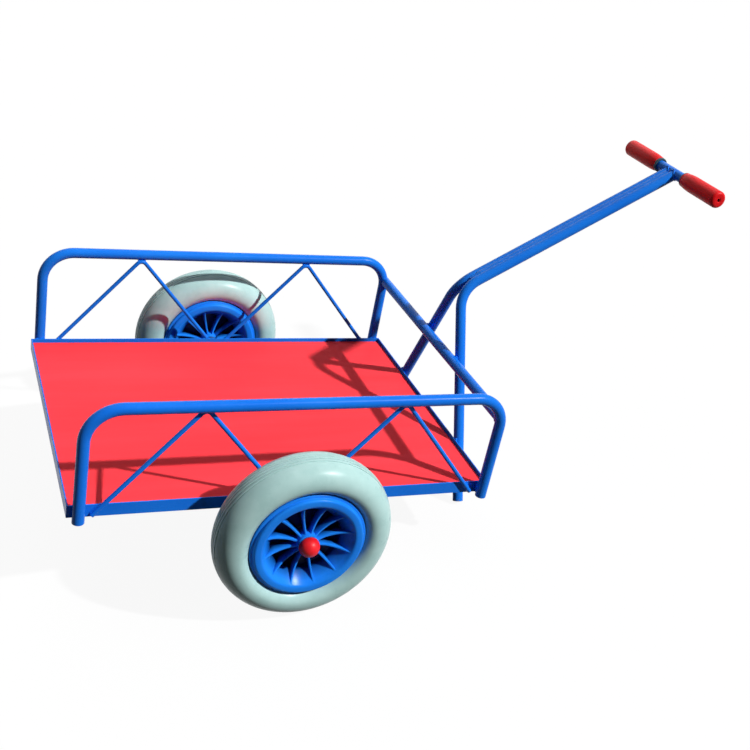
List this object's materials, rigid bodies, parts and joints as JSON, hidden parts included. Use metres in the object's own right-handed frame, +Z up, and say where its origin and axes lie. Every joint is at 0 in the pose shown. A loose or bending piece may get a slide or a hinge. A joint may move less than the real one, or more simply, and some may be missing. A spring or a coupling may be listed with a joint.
{
  "type": "two-wheeled hand cart",
  "caption": "Two-wheeled pull cart with a flat deck in an angle frame, tubular side hoops with rod braces and a splayed drawbar handle that parks it nose down on its legs.",
  "frame": {"origin": "on the floor, under the middle of the parked cart's box", "axes": "+X forward to the handle, +Y to the cart's left, +Z up"},
  "size_m": [1.6458, 1.055, 0.7281],
  "materials": {
    "blue_paint": "gloss enamel over steel",
    "deck_red": "red painted board",
    "axle_steel": "bright steel",
    "cap_red": "moulded, glossy",
    "grip_red": "soft moulded",
    "rim_blue": "moulded, satin gloss",
    "tyre_grey": "matt grey foam rubber"
  },
  "bodies": {
    "chassis": {"frame_angle_left": "blue_paint", "frame_angle_right": "blue_paint", "frame_angle_front": "blue_paint", "frame_angle_rear": "blue_paint", "cross_member_front": "blue_paint", "cross_member_rear": "blue_paint", "side_hoop_left": "blue_paint", "side_hoop_right": "blue_paint", "brace_left_front": "blue_paint", "brace_left_rear": "blue_paint", "brace_right_front": "blue_paint", "brace_right_rear": "blue_paint", "front_rail": "blue_paint", "handle_tube_left": "blue_paint", "handle_tube_right": "blue_paint", "handle_crossbar": "blue_paint", "deck_panel": "deck_red", "axle": "axle_steel", "axle_collar_left": "axle_steel", "axle_collar_right": "axle_steel", "axle_washer_left": "axle_steel", "axle_washer_right": "axle_steel", "axle_cap_left": "cap_red", "axle_cap_right": "cap_red", "grip_left": "grip_red", "grip_right": "grip_red"},
    "left_wheel": {"rim_left": "rim_blue", "tyre_left": "tyre_grey"},
    "right_wheel": {"rim_right": "rim_blue", "tyre_right": "tyre_grey"}
  },
  "joints": [
    {"name": "left_wheel_spin", "type": "hinge", "parent": "chassis", "child": "left_wheel", "pos_m": [-0.34805, 0.4581, 0.2], "axis": [0, 1, 0], "continuous": true},
    {"name": "right_wheel_spin", "type": "hinge", "parent": "chassis", "child": "right_wheel", "pos_m": [-0.34805, -0.4581, 0.2], "axis": [0, 1, 0], "continuous": true}
  ]
}
